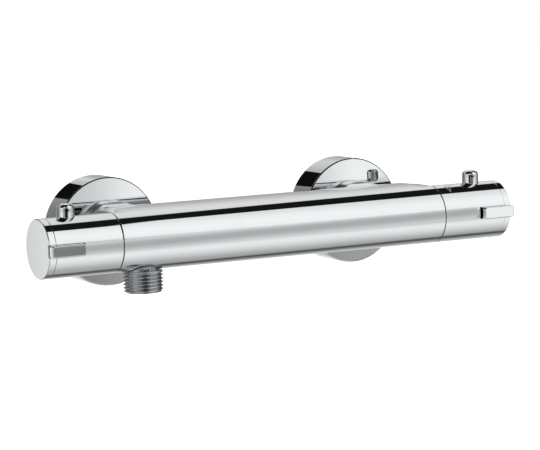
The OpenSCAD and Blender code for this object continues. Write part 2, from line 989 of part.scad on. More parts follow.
// Disc with two ports opposite each other
module ceramic_disc(x, direction) {
    difference() {
        rod(disc_r, x, x + disc_t - seat_gap);
        for (turn = [0, 180])
            ring_sector(disc_r * disc_port_share, disc_r * disc_port_in_share, x - over,
                x + disc_t + over, direction + turn, port_sector / 2);
    }
}

module fixed_ceramic_disc() {
    color(ceramic)
        along_bar_left()
            ceramic_disc(disc_x, 0);
}

// Shut in the rest position: its ports lie a quarter turn from those of the fixed disc
module moving_ceramic_disc() {
    color(ceramic)
        along_bar_left()
            difference() {
                ceramic_disc(moving_x, 90);
                slab(2 * driver_r + 2 * face_clear, driver_tab_w + 2 * fix_clear,
                    moving_x + disc_t - driver_tab_t - face_clear, moving_x + disc_t + over);
            }
}

module flow_spindle() {
    color(brass)
        along_bar_left() {
            spindle_end();
            rod(flow_shaft_r, driver_x, gland_x - face_clear);
            // Cross bar over the moving disc, with a tab in the disc's groove
            intersection() {
                rod(driver_r, driver_x - driver_tab_t, driver_x + driver_t);
                union() {
                    slab(2 * driver_r, driver_tab_w, driver_x - driver_tab_t, driver_x + driver_t);
                    slab(2 * driver_r, driver_w, driver_x, driver_x + driver_t);
                }
            }
            ring_sector(vane_r, 0, vane_x, vane_x + vane_t + over, 90, vane_half_angle);
        }
}

module flow_gland() {
    color(brass)
        along_bar_left()
            gland(flow_gland_r);
}

module flow_o_rings() {
    color(rubber)
        along_bar_left() {
            o_ring(flow_groove_r + o_ring_r, o_ring_r - run_clear, flow_o_ring_x);
            o_ring(spindle_neck_r + gland_ring_r / 2, gland_ring_r / 2 - run_clear / 2, gland_ring_x);
        }
}

// Handles, in handle coordinates: z counts from the handle's inner end

// Ring on the gland's neck with lugs that stand towards the handle
module stop_ring(directions) {
    ring(ring_disc_r, ring_in_r, ring_z, ring_z + ring_disc_t);
    ring(ring_in_r + ring_hub_t, ring_in_r, ring_z, ring_z + ring_len);
    for (direction = directions)
        ring_sector(lug_out_r, lug_in_r, ring_z + ring_disc_t / 2, ring_z + ring_len, direction,
            lug_half_angle);
}

// Local directions: 270 is the front, 180 the top and 90 the wall side
module temperature_stop_ring() {
    color(plastic_grey)
        along_bar(handle_x)
            stop_ring([270 + arm_step, 90 + hot_turn + rib_step]);
}

module flow_stop_ring() {
    color(plastic_grey)
        along_bar_left(handle_x)
            stop_ring([270 - economy_angle - arm_step]);
}

module handle_shell() {
    slot_w = button_w + 2 * slot_clear;
    difference() {
        union() {
            ring(bar_r, shell_in_r, 0, shell_len);
            rod(shell_in_r + over, web_z, web_end_z);
            rod(hub_r, insert_z + insert_flange_t, web_end_z);
            // Boss inside for the lever pin's shank
            intersection() {
                to_top(lever_at)
                    rod(lever_boss_r, lever_shank_in, shell_in_r + over);
                rod(shell_in_r + over, web_z, shell_len);
            }
        }
        rod(insert_r + fix_clear, 0, web_end_z + over);
        to_top(lever_at)
            rod(lever_shank_r + fix_clear, lever_shank_in - over, bar_r + over);
        // Slot for the button, open at the end, and the window for its arm
        to_front(0)
            translate([-slot_w / 2, button_z - slot_clear, web_z / 2])
                cube([slot_w, shell_len, bar_r]);
        translate([-window_w / 2, -shell_in_r, web_z - over])
            cube([window_w, shell_in_r - window_low_y, web_t + 2 * over]);
    }
}

module temperature_handle_shell() {
    color(chrome)
        along_bar(handle_x) {
            handle_shell();
            // Rib that meets the stop ring's lugs at both ends of the travel
            ring_sector(shell_in_r + shell_wall / 2, rib_in_r, rib_z, rib_z + rib_len,
                90, rib_half_angle);
        }
}

module flow_handle_shell() {
    color(chrome)
        along_bar_left(handle_x)
            handle_shell();
}

// Rounded disc with a spigot in the shell and a post for the button's spring
module end_cap() {
    slot_w = button_w + 2 * slot_clear;
    spigot_r = shell_in_r - fix_clear;
    difference() {
        union() {
            rotate_extrude()
                union() {
                    square([bar_r - cap_round, cap_z + cap_len]);
                    square([bar_r, cap_z + cap_len - cap_round]);
                    translate([bar_r - cap_round, cap_z + cap_len - cap_round])
                        circle(r = cap_round);
                }
        }
        rod(bar_r + over, -over, cap_z - spigot_len);
        ring(bar_r + over, spigot_r, cap_z - spigot_len - over, cap_z);
        rod(spigot_r - spigot_t, cap_z - spigot_len - over, cap_z);
        to_front(0)
            translate([-slot_w / 2, cap_z - spigot_len - over, notch_y])
                cube([slot_w, spigot_len + cap_len + 2 * over, bar_r]);
        // Inside the shell the spigot is open down to the post
        to_front(0)
            translate([-slot_w / 2, cap_z - spigot_len - over, post_r + over])
                cube([slot_w, spigot_len + over, bar_r]);
    }
    difference() {
        rod(post_r, post_z, cap_z + cap_round);
        translate([-post_r, -post_r - post_flat_y, post_z - over])
            cube([2 * post_r, post_r, cap_z - post_z + over]);
        to_front(spring_z)
            rod(spring_pocket_r, post_flat_y - spring_pocket_t, post_r + over);
    }
}

module temperature_end_cap() {
    color(chrome)
        along_bar(handle_x)
            end_cap();
}

module flow_end_cap() {
    color(chrome)
        along_bar_left(handle_x)
            end_cap();
}

// Splined bush that carries the handle on the spindle
module handle_insert() {
    difference() {
        union() {
            rod(insert_r, insert_z, web_end_z);
            rod(insert_flange_r, insert_z, insert_z + insert_flange_t);
        }
        splines(spline_r + fix_clear, insert_z - over, spline_end_z + face_clear);
        rod(screw_r + fix_clear, insert_z, web_end_z + over);
    }
}

module temperature_handle_insert() {
    color(plastic_white)
        along_bar(handle_x)
            handle_insert();
}

module flow_handle_insert() {
    color(plastic_white)
        along_bar_left(handle_x)
            handle_insert();
}

// Socket screw that draws the handle onto the spindle
module handle_screw() {
    difference() {
        union() {
            rod(screw_r, web_end_z - screw_len, web_end_z);
            rod(screw_head_r, web_end_z, web_end_z + screw_head_t);
        }
        translate([0, 0, web_end_z + screw_head_t - screw_socket_t])
            cylinder(r = screw_socket_r, h = screw_socket_t + over, $fn = hex_sides);
    }
}

module temperature_handle_screw() {
    color(steel)
        along_bar(handle_x)
            handle_screw();
}

module flow_handle_screw() {
    color(steel)
        along_bar_left(handle_x)
            handle_screw();
}

// Stubby pin with a flared foot and a rounded top
module lever_pin() {
    foot_z = sqrt(pow(bar_r, 2) - pow(lever_r + lever_foot, 2));
    top_z = bar_r + lever_h;
    difference() {
        to_top(lever_at)
            rotate_extrude()
                difference() {
                    union() {
                        square([lever_r - lever_top_round, top_z]);
                        square([lever_r, top_z - lever_top_round]);
                        translate([lever_r - lever_top_round, top_z - lever_top_round])
                            circle(r = lever_top_round);
                        square([lever_r + lever_foot, bar_r + lever_foot / 2]);
                    }
                    translate([lever_r + lever_foot, bar_r + lever_foot])
                        circle(r = lever_foot);
                    square([lever_r + lever_foot + over, foot_z - over]);
                }
        rod(bar_r + seat_gap, lever_at - 2 * lever_r, lever_at + 2 * lever_r);
    }
    to_top(lever_at)
        rod(lever_shank_r, lever_shank_in, bar_r + lever_foot);
}

module temperature_lever_pin() {
    color(chrome)
        along_bar(handle_x)
            lever_pin();
}

module flow_lever_pin() {
    color(chrome)
        along_bar_left(handle_x)
            lever_pin();
}

// Bevelled bar in the handle's slot, with a flange under the wall, a spring pin and a catch arm
module push_button() {
    to_front(0) {
        intersection() {
            // Seen along the handle, then across it, then from the front
            translate([0, button_z, 0])
                rotate([90, 0, 180])
                    linear_extrude(height = button_len)
                        bevelled(button_w, -button_w / 2, flange_top_y - flange_t);
            translate([-button_w / 2, 0, 0])
                rotate([90, 0, 90])
                    linear_extrude(height = button_w)
                        union() {
                            bevelled(button_len, button_z, rim_low_y);
                            translate([button_z, flange_top_y - flange_t])
                                square([cap_z - fix_clear - button_z, flange_t + rim_low_y
                                    - flange_top_y + rim_dip]);
                        }
            linear_extrude(height = button_top_y + over)
                translate([-button_w / 2, button_z])
                    rounded_plan(button_w, button_len, button_round);
        }
        translate([-flange_w / 2, flange_z, flange_top_y - flange_t])
            cube([flange_w, flange_len, flange_t]);
        translate([-arm_w / 2, arm_z, flange_top_y - arm_t])
            cube([arm_w, flange_z - arm_z + over, arm_t]);
    }
    to_front(spring_z)
        rod(spring_pin_r, flange_top_y - flange_t - spring_pin_len, flange_top_y);
}

// Upright profile of a button's bar with two bevels at its top
module bevelled(width, start, low) {
    stop = start + width;
    polygon([
        [start, low], [stop, low], [stop, button_top_y - button_bevel],
        [stop - button_bevel, button_top_y], [start + button_bevel, button_top_y],
        [start, button_top_y - button_bevel]
    ]);
}

// Rectangle with rounded corners, its first corner at the origin
module rounded_plan(width, length, r) {
    translate([r, 0])
        square([width - 2 * r, length]);
    translate([0, r])
        square([width, length - 2 * r]);
    for (x = [r, width - r])
        for (y = [r, length - r])
            translate([x, y])
                circle(r = r);
}

module button_spring() {
    base = post_flat_y - spring_pocket_t + seat_gap;
    top = flange_top_y - flange_t - seat_gap;
    to_front(spring_z)
        translate([0, 0, base])
            coil(spring_coil_r, spring_wire_r, top - base, spring_turns);
}

module safety_button() {
    color(chrome)
        along_bar(handle_x)
            push_button();
}

module economy_button() {
    color(dark_chrome)
        along_bar_left(handle_x)
            push_button();
}

module safety_button_spring() {
    color(steel)
        along_bar(handle_x)
            button_spring();
}

module economy_button_spring() {
    color(steel)
        along_bar_left(handle_x)
            button_spring();
}

valve_body();
outlet_nipple();
outlet_seal();
inlet_tail(-1);  // hot_inlet_tail
inlet_tail(1);  // cold_inlet_tail
union_nut(-1);  // hot_union_nut
union_nut(1);  // cold_union_nut
strainer_washer(-1);  // hot_strainer_washer
strainer_washer(1);  // cold_strainer_washer
check_housing(-1);  // hot_check_housing
check_housing(1);  // cold_check_housing
check_poppet(-1);  // hot_check_poppet
check_poppet(1);  // cold_check_poppet
check_spring(-1);  // hot_check_spring
check_spring(1);  // cold_check_spring
eccentric_coupling(-1);  // hot_eccentric_coupling
eccentric_coupling(1);  // cold_eccentric_coupling
rosette(-1);  // hot_rosette
rosette(1);  // cold_rosette
thermostat_housing();
thermostat_slider();
wax_element();
thermostat_return_spring();
regulating_nut();
temperature_spindle();
thermostat_gland();
thermostat_o_rings();
flow_cartridge_housing();
flow_disc_seal();
fixed_ceramic_disc();
moving_ceramic_disc();
flow_spindle();
flow_gland();
flow_o_rings();
temperature_stop_ring();
temperature_handle_shell();
temperature_end_cap();
temperature_handle_insert();
temperature_handle_screw();
temperature_lever_pin();
safety_button();
safety_button_spring();
flow_stop_ring();
flow_handle_shell();
flow_end_cap();
flow_handle_insert();
flow_handle_screw();
flow_lever_pin();
economy_button();
economy_button_spring();
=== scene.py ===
# Thermostatic bar shower valve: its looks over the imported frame. Sizes in the sections are millimetres.
import math

import bmesh
import bpy
from mathutils import Matrix, Vector


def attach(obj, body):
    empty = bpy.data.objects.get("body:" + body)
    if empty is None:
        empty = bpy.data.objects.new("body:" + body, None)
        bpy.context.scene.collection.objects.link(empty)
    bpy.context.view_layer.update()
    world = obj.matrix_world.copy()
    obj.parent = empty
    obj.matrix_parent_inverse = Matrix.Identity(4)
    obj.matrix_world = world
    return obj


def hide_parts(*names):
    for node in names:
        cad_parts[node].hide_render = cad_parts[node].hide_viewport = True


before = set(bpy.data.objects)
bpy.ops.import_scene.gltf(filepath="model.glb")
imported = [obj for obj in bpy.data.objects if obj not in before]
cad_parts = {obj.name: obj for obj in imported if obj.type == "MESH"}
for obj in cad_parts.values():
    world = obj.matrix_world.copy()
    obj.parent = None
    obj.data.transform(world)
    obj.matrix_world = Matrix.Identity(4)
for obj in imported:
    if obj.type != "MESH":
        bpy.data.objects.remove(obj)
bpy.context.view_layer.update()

# The studio: what the polished chrome mirrors. White cloth hangs all round with a black flag over the
# bar and darker cloths level with it, small cards near the valve shape its reflections out of the
# camera's sight, and a pale floor lies below.


class Shade:
    """An output socket; sums and products of it are Math nodes."""

    def __init__(self, sheet, socket):
        self.sheet, self.socket = sheet, socket

    def other(self, name):
        """Another output of the same node."""
        return Shade(self.sheet, self.socket.node.outputs[name])

    def maths(self, operation, *values):
        """A Math node that takes this output first."""
        return self.sheet.node("ShaderNodeMath", {"operation": operation}, self, *values)

    def between(self, low, high):
        """0 below low, 1 above high, soft between them."""
        settings = {"interpolation_type": "SMOOTHSTEP"}
        return self.sheet.node("ShaderNodeMapRange", settings, self, low, high)

    def band(self, low, full, still, high):
        """1 from full to still, 0 below low and above high, soft between them."""
        return self.between(low, full) * (1 - self.between(still, high))

    def held(self, low, high):
        """This output, but never under low or over high."""
        return self.maths("MAXIMUM", low).maths("MINIMUM", high)

    def toward(self, value, share):
        """This output where share is 0, and the value where it is 1."""
        return self + (value - self) * share

    def __add__(self, value):
        return self.maths("ADD", value)

    def __sub__(self, value):
        return self.maths("SUBTRACT", value)

    def __rsub__(self, value):
        return self.sheet.node("ShaderNodeMath", {"operation": "SUBTRACT"}, value, self)

    def __mul__(self, value):
        return self.maths("MULTIPLY", value)

    def __truediv__(self, value):
        return self.maths("DIVIDE", value)

    def __abs__(self):
        return self.maths("ABSOLUTE")

    __radd__ = __add__
    __rmul__ = __mul__


class Sheet:
    """The node tree of one finish."""

    def __init__(self, tree):
        self.tree = tree
        tree.nodes.clear()

    def feed(self, socket, value):
        """Links a socket to an output, or sets it to a plain value."""
        if isinstance(value, Shade):
            self.tree.links.new(value.socket, socket)
        else:
            socket.default_value = value

    def node(self, kind, settings, *values, out=0, **named):
        """A node with its settings, fed in the order of its sockets and by their names; stops fill a ramp."""
        made = self.tree.nodes.new(kind)
        for name, value in settings.items():
            if name == "stops":
                ramp = made.color_ramp.elements
                while len(ramp) < len(value):
                    ramp.new(1)
                for stop, (place, colour) in zip(ramp, value):
                    stop.position = place
                    stop.color = (*colour, 1) if isinstance(colour, tuple) else (colour,) * 3 + (1,)
            else:
                setattr(made, name, value)
        for name, value in [*enumerate(values), *named.items()]:
            self.feed(made.inputs[name if isinstance(name, int) else name.replace("_", " ")], value)
        return Shade(self, made.outputs[out]) if made.outputs else None

    def mixed(self, mask, first, second):
        """The first colour where mask is 0 and the second where it is 1."""
        made = self.node("ShaderNodeMix", {"data_type": "RGBA"}, mask, out=2)
        first_colour, second_colour = made.socket.node.inputs[6:8]
        self.feed(first_colour, first)
        self.feed(second_colour, second)
        return made


def mirrored(sheet, angle, stops):
    """What the studio shows at an angle in degrees, from listed stops of angle and brightness."""
    places = [(0.5 + place / 360, light) for place, light in stops]
    return sheet.node("ShaderNodeValToRGB", {"stops": places}, angle / 360 + 0.5)


scene = bpy.context.scene
scene.view_settings.view_transform = "Standard"
studio = bpy.data.worlds.new("studio")
studio.use_nodes = True
scene.world = studio
room = Sheet(studio.node_tree)

# Lift is a direction's angle from the south up over the bar, and bearing its angle from the south round
# to the east, both in degrees. East, south and height are its shares along those ways.
to_degrees = 180 / math.pi
east = room.node("ShaderNodeSeparateXYZ", {}, room.node("ShaderNodeTexCoord", {}, out="Generated"))
south, height = 0 - east.other("Y"), east.other("Z")
lift = height.maths("ARCTAN2", south) * to_degrees
bearing = east.maths("ARCTAN2", south) * to_degrees

# The cloth over and under the valve, by lift. The bar mirrors a strip of it, and reach is how far along
# the bar a reflection lies from the strip's middle. Low behind the bar the cloth hangs askew.
strip_west, strip_east, strip_middle, cloth_skew = 0.39, 0.53, 0.465, 91.7
reach = east.held(strip_west, strip_east) - strip_middle
low_behind = 1 - lift.between(-100, -92)
arch = mirrored(room, lift - low_behind * reach * cloth_skew, [
    (-180, 0.33), (-150, 0.5), (-138, 0.4), (-128, 0.26), (-120, 0.13), (-113, 0.075), (-108, 0.13),
    (-103, 0.34), (-90, 0.43), (-80, 0.53), (-70, 0.655), (-60, 0.76), (-50, 0.86), (-40, 0.88),
    (-30, 0.7), (-22, 0.36), (-10.5, 0.36), (-9, 0.93), (8, 0.93), (14, 0.68), (21, 0.94), (42, 0.975),
    (60, 0.92), (70, 0.845), (80, 0.79), (116, 0.72), (130, 0.74), (150, 0.7), (157, 0.61),
    (163, 0.47), (170, 0.36), (180, 0.33)])

# The black flag over the bar hangs askew, and its lower edge steps down past both ends of the strip. An
# awning on the left darkens the tops of the pins, and dusk falls high behind them.
flag_low, flag_high, flag_low_skew, flag_high_skew, flag_black = 84, 119.5, 87, 207, 0.008
leftward = 1 - east.between(-0.1, 0.3)
flag_start = flag_low + reach * flag_low_skew - leftward * 30
flag_start = flag_start - (1 - east.between(0.405, 0.425)) * 6.5 - east.between(0.535, 0.56) * 16
flag_end = flag_high + reach * flag_high_skew + leftward * 15
flag = lift.band(flag_start, flag_start + 1.5, flag_end - 2, flag_end + 2)
awning = lift.band(62, 74, 100, 110) * (1 - east.between(0.3, 0.38))
dusk = lift.between(120, 135) * (1 - east.between(-0.3, 0.42))
arch = arch * (1 - flag) * (1 - 0.95 * awning) * (1 - 0.55 * dusk) + flag_black * flag

# The cloths level with the valve, by bearing: the horizon, which upright faces mirror, and a narrow belt
# under it, which the pins' sides and the right button mirror. Behind, the arch comes down nearly to it.
horizon = mirrored(room, bearing, [
    (-180, 0.35), (-160, 0.2), (-135, 0.13), (-119, 0.285), (-103, 0.5), (-87, 0.75), (-70, 0.95),
    (-57, 0.5), (-40, 0.3), (-5, 0.1), (9, 0.066), (25, 0.32), (28.5, 0.4), (29.5, 0.93), (34, 0.93),
    (35, 0.5), (41, 0.6), (57, 0.65), (66, 0.5), (75, 0.3), (90, 0.25), (105, 0.035), (122, 0.035),
    (137, 0.09), (143, 0.12), (147, 0.7), (160, 0.74), (165, 0.6), (180, 0.35)])
belt = mirrored(room, bearing, [
    (-180, 0.35), (-165, 0.2), (-152, 0.17), (-135, 0.18), (-114, 0.285), (-97, 0.46), (-81, 0.645),
    (-66, 0.64), (-52, 0.405), (-38, 0.227), (-25, 0.066), (-13, 0.004), (5, 0.004), (17, 0.07),
    (26, 0.11), (29, 0.93), (35, 0.93), (36, 0.25), (48, 0.5), (67, 0.517), (89, 0.204), (124, 0.036),
    (136, 0.05), (143, 0.4), (160, 0.42), (180, 0.35)])
arch_behind = height.between(0.03, 0.06) * bearing.band(134, 138, 158, 164)
level = (1 - abs(height).between(0.25, 0.42)) * (1 - arch_behind)
in_belt = height.band(-0.16, -0.13, -0.085, -0.06)

# Ahead of the bar the arch takes the horizon's place too, and there it is a third dimmer on its left.
ahead = bearing.band(6, 12, 33, 40) * (1 - in_belt)
arch = arch * (1 - 0.33 * level * (1 - bearing.between(18, 31)) * ahead)
seen = arch.toward(horizon, level * (1 - ahead)).toward(belt, in_belt)

# A dark post stands in front over and under the level cloths, and some shade lies low behind.
post = bearing.band(-26, -16, 8, 16) * (1 - abs(lift).between(60, 75)) * abs(height).between(0.3, 0.5)
low_shade = height.band(-0.1, -0.07, 0.03, 0.06) * bearing.band(138, 142, 165, 170)
seen = seen * (1 - 0.92 * post) * (1 - 0.65 * low_shade)

# Only mirrors see the studio. To the camera and to matt surfaces it is plain white.
camera_sees = room.node("ShaderNodeLightPath", {}, out="Is Camera Ray")
plain = camera_sees.maths("MAXIMUM", camera_sees.other("Is Diffuse Ray"))
glare = 1.33
glow = room.node("ShaderNodeBackground", {}, seen * glare * (1 - plain) + plain, 1.0)
room.node("ShaderNodeOutputWorld", {}, glow)


mm = 0.001


def card(name, middle, across, upward, light):
    """A glowing card that only mirrors see. Across and upward reach from its middle to its edges, and
    light is its brightness at distances along upward."""
    middle, across, upward = Vector(middle), Vector(across), Vector(upward)
    half_width, half_height = across.length, upward.length
    shape = bpy.data.meshes.new(name)
    shape.from_pydata([(x * half_width * mm, y * half_height * mm, 0)
                       for x, y in ((-1, -1), (1, -1), (1, 1), (-1, 1))], [], [(0, 1, 2, 3)])
    paper = bpy.data.materials.new(name)
    paper.use_nodes = True
    sheet = Sheet(paper.node_tree)
    spot = sheet.node("ShaderNodeTexCoord", {}, out="Object")
    rise = sheet.node("ShaderNodeSeparateXYZ", {}, spot, out="Y") * (0.5 / (half_height * mm)) + 0.5
    stops = [(0.5 + 0.5 * place / half_height, brightness * glare) for place, brightness in light]
    painted = sheet.node("ShaderNodeValToRGB", {"stops": stops}, rise)
    sheet.node("ShaderNodeOutputMaterial", {}, sheet.node("ShaderNodeEmission", {}, painted, 1.0))
    shape.materials.append(paper)
    made = bpy.data.objects.new(name, shape)
    across, upward = across.normalized(), upward.normalized()
    made.matrix_world = Matrix.Translation(middle * mm) @ Matrix(
        (across, upward, across.cross(upward))).transposed().to_4x4()
    made.visible_camera = made.visible_diffuse = made.visible_shadow = False
    scene.collection.objects.link(made)


# A grey card just before the bar, a dark one far in front on the left, a black one high behind the
# rosettes, and a pale one beside the left end.
card("grey_card", (-58, -110, -4.7), (190, 0, 3.8), (-0.26, 0, 13.3), [
    (-13.3, 0.7), (-6, 0.54), (0, 0.437), (5.6, 0.45), (8.5, 0.51), (11.3, 0.62), (13.3, 0.7)])
card("dark_card", (-235, -494, -35), (110, 0, 0), (0, 0, 115), [(-1, 0.006), (1, 0.006)])
card("rear_flag", (-102, 800, 405), (144, 0, 0), (0, 0, 155), [(-1, 0.004), (1, 0.004)])
card("end_card", (-157, -40, -9.5), (0, 0, 22.5), (15, 0, 0), [(0, 0.754), (13, 0.663)])

floor_size, floor_drop = 24, 0.6
bpy.ops.mesh.primitive_plane_add(size=floor_size, location=(0, 0, -floor_drop))
floor = bpy.context.object
floor.name = "floor"
floor.visible_glossy = False
pale = bpy.data.materials.new("pale_floor")
pale.use_nodes = True
cloth = Sheet(pale.node_tree)
grain = cloth.node("ShaderNodeTexNoise", {}, Scale=3.0, out="Fac")
tone = cloth.node("ShaderNodeValToRGB", {"stops": [(0.3, 0.93), (0.7, 0.97)]}, grain)
matt = cloth.node("ShaderNodeBsdfPrincipled", {}, Base_Color=tone, Roughness=0.9,
                  Emission_Color=(1, 1, 1, 1), Emission_Strength=0.35)
cloth.node("ShaderNodeOutputMaterial", {}, matt)
floor.data.materials.append(pale)

lamp = bpy.data.objects.new("soft_lamp", bpy.data.lights.new("soft_lamp", "AREA"))
lamp.data.shape, lamp.data.size, lamp.data.energy = "DISK", 1.2, 6
lamp.location = (-0.7, -1.0, 1.1)
lamp.rotation_euler = (Vector((0, -0.05, 0)) - lamp.location).to_track_quat("-Z", "Y").to_euler()
lamp.visible_glossy = False
scene.collection.objects.link(lamp)

# The camera looks from the left and a little above, and is tilted; its place and aim are in metres.
turned, raised, tilted = math.radians(27.6), math.radians(6.19), math.radians(-1.88)
camera_aim, camera_distance = Vector((-0.00387, -0.07, 0.00191)), 1.46137
focal_pixels, picture_width, film_width = 2750.59, 540, 36
back = Vector((-math.sin(turned) * math.cos(raised), -math.cos(turned) * math.cos(raised), math.sin(raised)))
level_side = (-back).cross(Vector((0, 0, 1))).normalized()
level_up = level_side.cross(-back)
side = level_side * math.cos(tilted) + level_up * math.sin(tilted)
upright = level_up * math.cos(tilted) - level_side * math.sin(tilted)
camera = bpy.data.objects.new("camera", bpy.data.cameras.new("camera"))
camera.data.sensor_width, camera.data.lens = film_width, film_width * focal_pixels / picture_width
camera.data.clip_end = 100
camera.matrix_world = Matrix.Translation(camera_aim + back * camera_distance) @ Matrix(
    (side, upright, back)).transposed().to_4x4()
scene.collection.objects.link(camera)
scene.camera = camera

# The valve body: a brass bar cast with a flat back, bored from both ends for the cartridges, polished and
# chromed. Its ends are faced square with a fine broken edge, where the handles meet it across a thin seam.
around = 144


class Seat:
    """Where a piece sits: the start of its axis, the way along it and the way to its front."""

    def __init__(self, start, along, front):
        self.start, self.along, self.front = Vector(start), Vector(along), Vector(front)
        self.side = self.along.cross(self.front)

    def spot(self, forward, sideways, distance):
        """The point in metres that lies so far to the front, to the side and along the axis."""
        return (self.start + self.front * forward + self.side * sideways + self.along * distance) * mm

    def ring(self, radius, distance, count=around):
        angles = [math.tau * step / count for step in range(count)]
        return [self.spot(radius * math.cos(a), radius * math.sin(a), distance) for a in angles]


class Blank:
    """Metal in work: skins are laid on it, then it is finished as one piece."""

    def __init__(self):
        self.mesh = bmesh.new()

    def skin(self, rings, closed=False):
        """Faces between rings of points; a ring of one point is a pole, and closed joins the last ring to
        the first."""
        rows = [[self.mesh.verts.new(point) for point in ring] for ring in rings]
        for first, second in zip(rows, rows[1:] + rows[:1] * closed):
            for step in range(max(len(first), len(second))):
                corners = [first[step % len(first)], first[(step + 1) % len(first)],
                           second[(step + 1) % len(second)], second[step % len(second)]]
                self.mesh.faces.new(list(dict.fromkeys(corners)))
        return rows

    def turned(self, seat, outline, count=around):
        """Turned on the lathe from a closed outline of radius and distance."""
        rings = [seat.ring(radius, distance, count if radius else 1) for radius, distance in outline]
        self.skin(rings, closed=outline[0][0] > 0)

    def capped(self, rings):
        """A skin whose first and last rings are flat faces."""
        rows = self.skin(rings)
        self.mesh.faces.new(rows[0][::-1])
        self.mesh.faces.new(rows[-1])

    def done(self, name, body, slot, coat, *replaced, sharp=32, edge=0.0):
        """The finished piece: corners over sharp degrees stay crisp, and edge breaks them by its width."""
        bmesh.ops.recalc_face_normals(self.mesh, faces=self.mesh.faces)
        shape = bpy.data.meshes.new(name)
        self.mesh.to_mesh(shape)
        self.mesh.free()
        shape.shade_smooth()
        shape.set_sharp_from_angle(angle=math.radians(sharp))
        shape.materials.append(coat)
        made = bpy.data.objects.new(name, shape)
        scene.collection.objects.link(made)
        if edge:
            broken = made.modifiers.new("broken_edge", "BEVEL")
            broken.width, broken.segments, broken.harden_normals = edge * mm, 3, True
            broken.angle_limit = math.radians(40)
        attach(made, body)
        if replaced:
            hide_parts(*replaced)
        return made


def arc(middle, radius, start, stop, steps):
    """Points on a circle between two angles in degrees."""
    angles = [math.radians(start + (stop - start) * step / steps) for step in range(steps + 1)]
    return [(middle[0] + radius * math.cos(a), middle[1] + radius * math.sin(a)) for a in angles]


def softened(corners, soft=0.15, closed=True, steps=5):
    """An outline with its corners rounded, each with a short straight before and after it. A third number
    is a corner's own radius, and 0 keeps it sharp."""
    straight, most_of_side = 0.04, 0.45
    outline = []
    for place, corner in enumerate(corners):
        here, radius = Vector(corner[:2]), corner[2] if len(corner) > 2 else soft
        if not radius or not closed and place in (0, len(corners) - 1):
            outline.append(tuple(here))
            continue
        before = Vector(corners[place - 1][:2]) - here
        after = Vector(corners[(place + 1) % len(corners)][:2]) - here
        half = before.angle(after) / 2
        reach = min(radius / math.tan(half), most_of_side * before.length, most_of_side * after.length)
        before, after = before.normalized(), after.normalized()
        middle = here + (before + after).normalized() * (reach / math.cos(half))
        start, stop = here + before * reach - middle, here + after * reach - middle
        first = math.atan2(start.y, start.x)
        sweep = (math.atan2(stop.y, stop.x) - first + math.pi) % math.tau - math.pi
        outline.append(tuple(here + before * (reach + straight)))
        outline += arc(middle, start.length, math.degrees(first), math.degrees(first + sweep), steps)
        outline.append(tuple(here + after * (reach + straight)))
    return outline


def coated(name, colour, roughness, metallic=1.0, stain=0.03, mottle=0.02, bump=0.0, mark=None, shade=None):
    """A finish with faint cloudy changes of tone and gloss, a fine grain where bump is set, print where
    mark says and painted shade, a dark tone, where shade says."""
    cloud_scale, grain_scale, grain_depth = 60.0, 1320.0, 0.0002
    ink, ink_roughness, painted_shade_tone = (0.14, 0.145, 0.15, 1), 0.3, (0.05, 0.05, 0.055, 1)
    finish = bpy.data.materials.new(name)
    finish.use_nodes = True
    sheet = Sheet(finish.node_tree)
    place = sheet.node("ShaderNodeTexCoord", {}, out="Object")
    cloud = sheet.node("ShaderNodeTexNoise", {}, place, Scale=cloud_scale, Detail=3.0, out="Fac")
    fine = sheet.node("ShaderNodeTexNoise", {}, place, Scale=grain_scale, Detail=2.0, out="Fac")
    dark = tuple(max(0.0, part * (1 - stain)) for part in colour)
    pale = tuple(min(1.0, part * (1 + stain)) for part in colour)
    tone = sheet.node("ShaderNodeValToRGB", {"stops": [(0.3, dark), (0.7, pale)]}, cloud)
    gloss = roughness + (cloud - 0.5) * mottle + (fine - 0.5) * (mottle * 0.5)
    # Painted shade: where shade says, the tone is mixed toward a dark grey.
    if shade:
        tone = sheet.mixed(shade(sheet, place), tone, painted_shade_tone)
    inputs = {"Base_Color": tone, "Roughness": gloss, "Metallic": metallic}
    if mark:
        printed = mark(sheet, place)
        inputs["Base_Color"] = sheet.mixed(printed, tone, ink)
        inputs["Roughness"] = gloss + printed * ink_roughness
        inputs["Metallic"] = 1 - printed
    if bump:
        inputs["Normal"] = sheet.node("ShaderNodeBump", {}, Strength=bump, Distance=grain_depth, Height=fine,
                                      out="Normal")
    shell = sheet.node("ShaderNodeBsdfPrincipled", {}, **inputs)
    sheet.node("ShaderNodeOutputMaterial", {}, shell)
    return finish


chrome_colour, chrome_roughness, chrome_stain = (0.675, 0.695, 0.7), 0.035, 0.012
polished_chrome = coated("polished_chrome", chrome_colour, chrome_roughness, stain=chrome_stain)
bar_r, body_half, back_depth, back_round, axis_y = 15.6, 96.0, 21.0, 3.0, -70.0
front_seat = Seat((0, axis_y, 0), (1, 0, 0), (0, -1, 0))


def bar_section(inset, swell):
    """The bar's outline, round in front and flat behind, drawn in by inset. Its top arches up to the back
    edge, fully where swell is 1. The seat's side points down, so what is up is negative there."""
    leave, meet = 90 - 10 * swell, 93
    cos_leave, cos_meet = math.cos(math.radians(leave)), math.cos(math.radians(meet))
    flank_r = (bar_r * cos_leave + back_depth - back_round * (1 + cos_meet)) / (cos_leave - cos_meet)
    flank_at = arc((0, 0), bar_r - flank_r, leave, leave, 1)[0]
    flank = arc(flank_at, flank_r - inset, leave, meet, 16)
    corner_v = flank_at[1] + (flank_r - back_round) * math.sin(math.radians(meet))
    corner = arc((back_round - back_depth, corner_v), back_round - inset, meet, 180, 12)
    low_corner = arc((back_round - back_depth, back_round - bar_r), back_round - inset, 180, 270, 12)
    outline = arc((0, 0), bar_r - inset, -90, leave, 120) + flank[1:] + corner[1:] + low_corner
    return [(forward, -up) for forward, up in outline]


